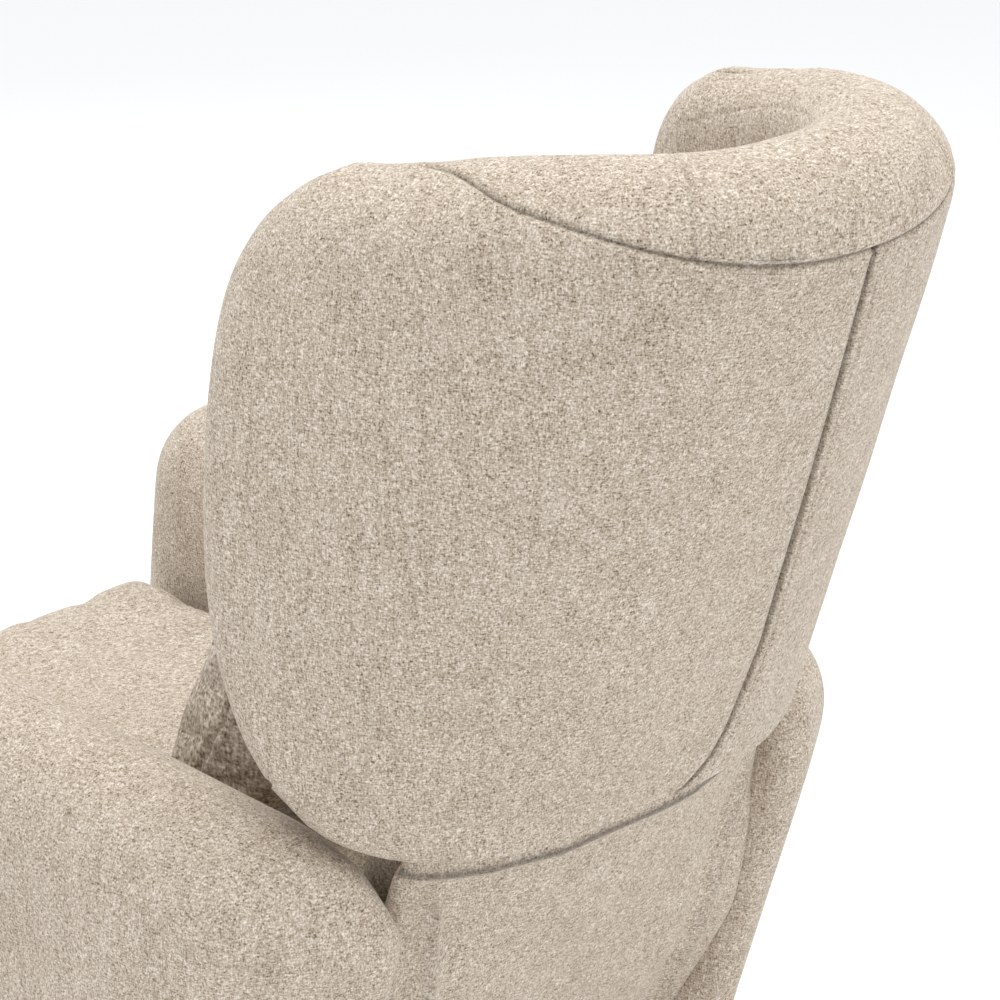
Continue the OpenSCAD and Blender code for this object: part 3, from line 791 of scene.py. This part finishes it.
def sheet_half_width(v):
    """Half the width of the hanging cover."""
    return np.interp(v, [SHEET_LOW, -0.185, -0.10, 0.0, 0.10, SHEET_HIGH],
                     [0.222, 0.224, 0.230, 0.230, 0.224, 0.216])


def sheet_wrap(x):
    """How far the hanging cover falls forward beside the middle, to follow the shell."""
    return np.interp(np.abs(x), [0, 0.08, 0.15, 0.19, 0.222, 0.245],
                     [0, 0.0025, 0.013, 0.026, 0.0405, 0.053])


def build_lower_back():
    """The cloth that hangs below the shell down the body's rear, with its soft crease; its grooves get
    painted shade.
    """
    bm = gridded_box(84, 130, 5)
    piece = add_piece("lower_back_cover", bm, "beige_tweed")
    unit = points_of(piece.data)
    s = 2 * unit[:, 0] - 1
    v = SHEET_LOW + (SHEET_HIGH - SHEET_LOW) * unit[:, 1]
    x = s * sheet_half_width(v)
    edge = np.clip(1 - np.abs(s), 0, 0.05) / 0.05
    tuck = np.sqrt(1 - (1 - edge) ** 2)
    hem = np.clip((v - SHEET_LOW) / 0.010, 0, 1)
    tuck = tuck * (0.3 + 0.7 * np.sqrt(1 - (1 - hem) ** 2))
    outer = sheet_section(v) - sheet_wrap(x) * smooth_step((v + 0.10) / 0.20)
    w = outer - SHEET_THICK / 2 + (unit[:, 2] - 0.5) * SHEET_THICK * (0.2 + 0.8 * tuck)
    set_points(piece.data, on_back(x, w, v))
    rear = unit[:, 2] > 0.9
    crease = sheet_half_width(v) - CREASE_INSET + 0.006 * np.sin(v * 22.0) - np.abs(x)
    fade = smooth_step((0.10 - v) / 0.08)
    crease = np.where(rear & (fade > 0), crease / np.maximum(fade, 0.05), FAR)
    # The crease, the hem's stitch line and the line under the shell are sunk and darkened with painted
    # shade
    draw_in(piece, crease, 0.008, 0.0060, ridge=0.5, dark=0.22)
    draw_in(piece, np.where(rear, v - (SHEET_LOW + HEM_RISE), FAR), 0.0030, 0.0012)
    draw_in(piece, np.where(rear, v - SHEET_SEAM_SHADE, FAR), 0.0060, 0.0040, ridge=0.0, dark=0.9)
    soften(piece, 0.08, 0.0026, seed=5.0)
    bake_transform(piece)
    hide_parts("lower_back_panel", "rear_panel")


def block_corners(low, high, r):
    """Balls at the corners of a block with rounded edges."""
    return [((x, y, z), r) for x in (low[0] + r, high[0] - r) for y in (low[1] + r, high[1] - r)
            for z in (low[2] + r, high[2] - r)]


def build_lower_pad():
    """The padding round the back's frame, between the seat and the shell."""
    half = 0.203
    low = (-half, -0.060, -0.092)
    high = (half, -0.006, 0.172)
    balls = [(tuple(on_back(*place)), r) for place, r in block_corners(low, high, 0.018)]
    piece = add_piece("lower_back_pad", hull_of(balls), "beige_tweed")
    remesh(piece, 0.007, smoothing=4)
    refine(piece)
    soften(piece, 0.10, 0.0024, seed=8.0)
    fit(piece, "backrest", "upholstery", "lower_back_panel", fill=0.7)


ARM_CREST = 0.600      # height of the arm's crest behind its raised front
ARM_CORNER = 0.052     # rounding of its upright corners
ARM_HEEL = 0.028       # rounding of its rear edge
ARM_HAND = 0.38        # height up to which its front stays upright
HEEL_RAKE = 0.130      # how far the rear edge runs forward on its way down


def build_arm(side):
    """One padded arm, round over its crest, its rear drawn in round the body and raked."""
    name = "left" if side > 0 else "right"
    inner = SEAT_HIGH.x + 0.002
    outer = ARM_HIGH.x
    r = (outer - inner) / 2
    x = inner + r
    front = ARM_LOW.y
    rear = ARM_HIGH.y
    foot = ARM_LOW.z
    heel_x = inner + ARM_HEEL
    heel_y = rear - ARM_HEEL
    balls = [((x, front + r, ARM_HIGH.z - r), r)]
    balls += [((x, rear - 0.185, ARM_CREST - r), r)]
    balls += [((x - 0.010, rear - 0.120, ARM_CREST - 0.010 - r), r)]
    balls += [((inner + 0.048, rear - 0.062, 0.523), 0.044), ((heel_x, heel_y, 0.495), ARM_HEEL)]
    discs = [((corner, front + ARM_CORNER, z), ARM_CORNER)
             for corner in (x - r + ARM_CORNER, x + r - ARM_CORNER) for z in (foot, ARM_HAND)]
    discs += [((x + r - ARM_CORNER, 0.080, foot), ARM_CORNER)]
    discs += [((heel_x, heel_y - HEEL_RAKE, foot), ARM_HEEL)]
    balls = [((side * c[0], c[1], c[2]), size) for c, size in balls]
    discs = [((side * c[0], c[1], c[2]), size) for c, size in discs]
    piece = add_piece("arm_cover_" + name, hull_of(balls, discs), "beige_tweed")
    remesh(piece, 0.008, smoothing=8)
    refine(piece)
    soften(piece, 0.15, 0.0018, seed=11.0 * side)
    points = points_of(piece.data)
    # A stitch line near the foot, sunk and darkened with painted shade
    draw_in(piece, points[:, 2] - (foot + 0.018), 0.0035, 0.0016)
    fit(piece, "carriage", "upholstery", "arm_" + name, fill=0.8)


def build_seat_cushion():
    """The crowned seat cushion, flat where it meets the arms and the deck."""
    form = look("padding_form")
    shrink = 0.006         # it starts smaller than its box, and swells
    crown = 0.006          # its top starts above the box
    low = Vector(SEAT_LOW) + Vector((shrink, shrink + 0.002, 0.002))
    high = Vector(SEAT_HIGH) - Vector((shrink, shrink, -crown))
    piece = add_piece("seat_cushion_cover", hull_of(block_corners(low, high, 0.034)), "beige_tweed")
    remesh(piece, form.voxel, smoothing=4)
    swell(piece, form.pressure, form.swell)
    refine(piece)
    points = points_of(piece.data)
    # A stitch line round the lower sides, sunk and darkened with painted shade
    draw_in(piece, points[:, 2] - (low.z + 0.048), 0.0032, 0.0030)
    soften(piece, 0.11, 0.0020, seed=21.0)
    gap = 0.0008
    hold(piece, (SEAT_LOW.x - gap, CAD_LOW.y - 0.006, SEAT_LOW.z + 0.0002),
         (SEAT_HIGH.x + gap, SEAT_HIGH.y + 0.003, None))
    fit(piece, "carriage", "upholstery", "seat_cushion", fill=0.75)


PILLOW_HALF = 0.208    # half the pillow's width, height and unstuffed thickness
PILLOW_TALL = 0.145
PILLOW_THICK = 0.034
PILLOW_TILT = 28       # its lean from upright, in degrees
PILLOW_FORWARD = 0.035    # how far it stands in front of its solid
PILLOW_RISE = 0.010    # how far it stands above its solid


def build_pillow():
    """The lumbar pillow: two cloths sewn round their edge and stuffed."""
    form = look("padding_form")
    half, tall, thick = PILLOW_HALF, PILLOW_TALL, PILLOW_THICK
    r = 0.014
    balls = [((x, 0, z), r) for x in (-half + r, half - r) for z in (-tall + r, tall - r)]
    balls += [((x, y, z), r) for x in (-half * 0.72, half * 0.72) for y in (-thick + r, thick - r)
              for z in (-tall * 0.62, tall * 0.62)]
    piece = add_piece("lumbar_pillow_cover", hull_of(balls), "pillow_boucle")
    remesh(piece, 0.005, smoothing=2)
    swell(piece, form.pressure * 2.0, form.pillow_swell, stiffness=8.0)
    refine(piece)
    points = points_of(piece.data)
    # The edge seam, sunk and darkened with painted shade
    draw_in(piece, points[:, 1], 0.003, 0.0022, dark=0.5)
    tilt = Matrix.Rotation(math.radians(-PILLOW_TILT), 4, "X")
    low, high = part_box("lumbar_pillow")
    centre = (low + high) / 2
    place = Matrix.Translation((0, centre.y - PILLOW_FORWARD, centre.z + PILLOW_RISE))
    piece.data.transform(place @ tilt)
    piece.data.update()
    hold(piece, (None, None, SEAT_HIGH.z + 0.001))
    fit(piece, "pillow", "pillow_cover", "lumbar_pillow", fill=0.7)


def padded_slab(name, low, high, r, voxel):
    """A thin upholstered panel with soft edges."""
    piece = add_piece(name, hull_of(block_corners(low, high, r)), "beige_tweed")
    remesh(piece, voxel, smoothing=3)
    refine(piece)
    return piece


def build_leg_rest():
    """The leg rest's padded panel and its fold-out foot flap, each with a stitch line darkened with
    painted shade.
    """
    panel = padded_slab("leg_rest_cover", LEG_LOW, LEG_HIGH, 0.012, 0.0055)
    points = points_of(panel.data)
    front = points[:, 1] < (LEG_LOW.y + LEG_HIGH.y) / 2
    inset = np.minimum(LEG_HIGH.x - np.abs(points[:, 0]), np.minimum(
        points[:, 2] - LEG_LOW.z, LEG_HIGH.z - points[:, 2]))
    draw_in(panel, np.where(front, inset - 0.020, FAR), 0.003, 0.0016)
    soften(panel, 0.10, 0.0010, seed=31.0)
    fit(panel, "leg_rest", "upholstery", "leg_panel", fill=0.5)
    flap = padded_slab("foot_flap_cover", FLAP_LOW, FLAP_HIGH, 0.0078, 0.004)
    points = points_of(flap.data)
    inset = np.minimum(FLAP_HIGH.x - np.abs(points[:, 0]), FLAP_HIGH.z - points[:, 2])
    draw_in(flap, inset - 0.014, 0.0025, 0.0010)
    fit(flap, "foot_flap", "upholstery", "foot_flap", fill=0.4)


# --- Finishes of the frame's own nodes ----------------------------------------------------

NODE_FINISHES = {
    "black_rubber": ["floor_pad"],
    "lacquered_base_wood": ["floor_disc"],
    "oiled_lever_wood": ["release_lever"],
    "bare_plywood": ["seat_rail_left", "seat_rail_right", "seat_rail_front", "seat_rail_rear",
                     "arm_board_left", "arm_board_right", "back_top_rail", "back_low_rail"],
    "bright_zinc": ["king_bolt", "lower_race", "bearing_balls", "upper_race", "upper_glide_pins",
                    "lower_glide_pins", "recline_pins", "leg_link_pins", "panel_pins", "flap_pin",
                    "lever_boss"],
    "elastic_webbing": ["seat_webbing"],
}


def finish_nodes():
    """Gives every frame node that shows its own finish."""
    chosen = {n: finish for finish, names in NODE_FINISHES.items() for n in names}
    for name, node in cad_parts.items():
        node.data.materials.clear()
        node.data.materials.append(finish_named(chosen.get(name, "black_powder_coat")))


# --- Floor, light and camera --------------------------------------------------------------

# Name, place, aim, side in metres, watts and colour of each lamp
LAMPS = [
    ("overhead", (-0.2, 0.0, 3.4), (0.0, 0.1, 0.6), 3.0, 44.0, (1.0, 0.985, 0.96)),
    ("rear", (-2.2, 2.6, 2.0), (0.0, 0.2, 0.7), 1.8, 10.5, (1.0, 0.99, 0.97)),
    ("front", (-1.6, -2.8, 2.4), (0.0, 0.0, 0.6), 2.4, 14.0, (0.97, 0.985, 1.0)),
]


def build_stage():
    """A plain pale floor, soft light from above and the camera."""
    form = look("studio_form")
    bm = bmesh.new()
    bmesh.ops.create_grid(bm, x_segments=1, y_segments=1, size=12.0)
    floor_shader = Shader("studio_floor")
    floor_shader.surface(Base_Color=(0.93, 0.93, 0.93, 1), Roughness=0.9, Specular_IOR_Level=0.1)
    mesh = bpy.data.meshes.new("studio_floor")
    bm.to_mesh(mesh)
    bm.free()
    mesh.materials.append(floor_shader.material)
    floor = bpy.data.objects.new("studio_floor", mesh)
    bpy.context.scene.collection.objects.link(floor)

    world = bpy.data.worlds.new("studio")
    world.use_nodes = True
    world.node_tree.nodes["Background"].inputs["Color"].default_value = (0.97, 0.98, 1.0, 1)
    world.node_tree.nodes["Background"].inputs["Strength"].default_value = 1.0
    bpy.context.scene.world = world
    for lamp in LAMPS:
        add_light(*lamp)

    camera = bpy.data.cameras.new("camera")
    camera.lens = form.lens
    camera.sensor_width = 36.0
    camera.clip_end = 50.0
    holder = bpy.data.objects.new("camera", camera)
    bpy.context.scene.collection.objects.link(holder)
    a, e = form.azimuth, form.elevation
    back = Vector((math.sin(a) * math.cos(e), -math.cos(a) * math.cos(e), math.sin(e)))
    holder.location = Vector(form.aim) + back * form.distance
    holder.rotation_euler = (-back).to_track_quat("-Z", "Y").to_euler()
    bpy.context.scene.camera = holder
    bpy.context.scene.view_settings.view_transform = "Standard"


def add_light(name, place, aim, size, power, colour):
    """A large square lamp that points at a spot."""
    lamp = bpy.data.lights.new(name, "AREA")
    lamp.shape = "SQUARE"
    lamp.size = size
    lamp.energy = power
    lamp.color = colour
    holder = bpy.data.objects.new(name, lamp)
    bpy.context.scene.collection.objects.link(holder)
    holder.location = place
    away = Vector(place) - Vector(aim)
    holder.rotation_euler = away.to_track_quat("Z", "Y").to_euler()


# --- Operators, panel and registration ----------------------------------------------------

class GLIDER_OT_back_shell(bpy.types.Operator):
    """Sew the winged back shell"""
    bl_idname = "glider.back_shell"
    bl_label = "Back Shell"

    def execute(self, context):
        build_back_shell()
        return {"FINISHED"}


class GLIDER_OT_lower_back(bpy.types.Operator):
    """Hang the cloth below the back shell and pad the frame in front of it"""
    bl_idname = "glider.lower_back"
    bl_label = "Lower Back"

    def execute(self, context):
        build_lower_back()
        build_lower_pad()
        return {"FINISHED"}


class GLIDER_OT_arms(bpy.types.Operator):
    """Sew the two arms"""
    bl_idname = "glider.arms"
    bl_label = "Arms"

    def execute(self, context):
        build_arm(1)
        build_arm(-1)
        return {"FINISHED"}


class GLIDER_OT_seat(bpy.types.Operator):
    """Stuff the seat cushion"""
    bl_idname = "glider.seat"
    bl_label = "Seat Cushion"

    def execute(self, context):
        build_seat_cushion()
        return {"FINISHED"}


class GLIDER_OT_pillow(bpy.types.Operator):
    """Stuff the lumbar pillow"""
    bl_idname = "glider.pillow"
    bl_label = "Lumbar Pillow"

    def execute(self, context):
        build_pillow()
        return {"FINISHED"}


class GLIDER_OT_leg_rest(bpy.types.Operator):
    """Cover the leg rest and its flap"""
    bl_idname = "glider.leg_rest"
    bl_label = "Leg Rest"

    def execute(self, context):
        build_leg_rest()
        return {"FINISHED"}


class GLIDER_OT_frame_finishes(bpy.types.Operator):
    """Finish the frame's wood, steel and rubber"""
    bl_idname = "glider.frame_finishes"
    bl_label = "Frame Finishes"

    def execute(self, context):
        finish_nodes()
        return {"FINISHED"}


class GLIDER_OT_stage(bpy.types.Operator):
    """Set up the floor, the light and the camera"""
    bl_idname = "glider.stage"
    bl_label = "Stage"

    def execute(self, context):
        build_stage()
        return {"FINISHED"}


OPERATORS = (
    GLIDER_OT_stage, GLIDER_OT_frame_finishes, GLIDER_OT_back_shell, GLIDER_OT_lower_back,
    GLIDER_OT_arms, GLIDER_OT_seat, GLIDER_OT_pillow, GLIDER_OT_leg_rest,
)
GROUPS = {
    "tweed_look": TweedLook, "pillow_look": PillowLook, "shell_form": ShellForm,
    "seam_form": SeamForm, "padding_form": PaddingForm, "studio_form": StudioForm,
}


class GLIDER_PT_panel(bpy.types.Panel):
    """The chair's sizes, colours and build steps"""
    bl_label = "Glider Chair"
    bl_idname = "GLIDER_PT_panel"
    bl_space_type = "VIEW_3D"
    bl_region_type = "UI"
    bl_category = "Glider"

    def draw(self, context):
        for name, group in GROUPS.items():
            box = self.layout.box()
            box.label(text=group.__doc__)
            for key in group.__annotations__:
                box.prop(getattr(context.scene, name), key)
        for operator in OPERATORS:
            self.layout.operator(operator.bl_idname)


def register():
    """Registers the groups, operators and panel."""
    for group in GROUPS.values():
        bpy.utils.register_class(group)
    for name, group in GROUPS.items():
        setattr(bpy.types.Scene, name, PointerProperty(type=group))
    for operator in OPERATORS:
        bpy.utils.register_class(operator)
    bpy.utils.register_class(GLIDER_PT_panel)


def unregister():
    """Takes everything that register adds away again."""
    bpy.utils.unregister_class(GLIDER_PT_panel)
    for operator in reversed(OPERATORS):
        bpy.utils.unregister_class(operator)
    for name in GROUPS:
        delattr(bpy.types.Scene, name)
    for group in reversed(list(GROUPS.values())):
        bpy.utils.unregister_class(group)


def main():
    """Builds everything in order."""
    register()
    bpy.ops.glider.stage()
    bpy.ops.glider.frame_finishes()
    bpy.ops.glider.back_shell()
    bpy.ops.glider.lower_back()
    bpy.ops.glider.arms()
    bpy.ops.glider.seat()
    bpy.ops.glider.pillow()
    bpy.ops.glider.leg_rest()


if __name__ == "__main__":
    main()
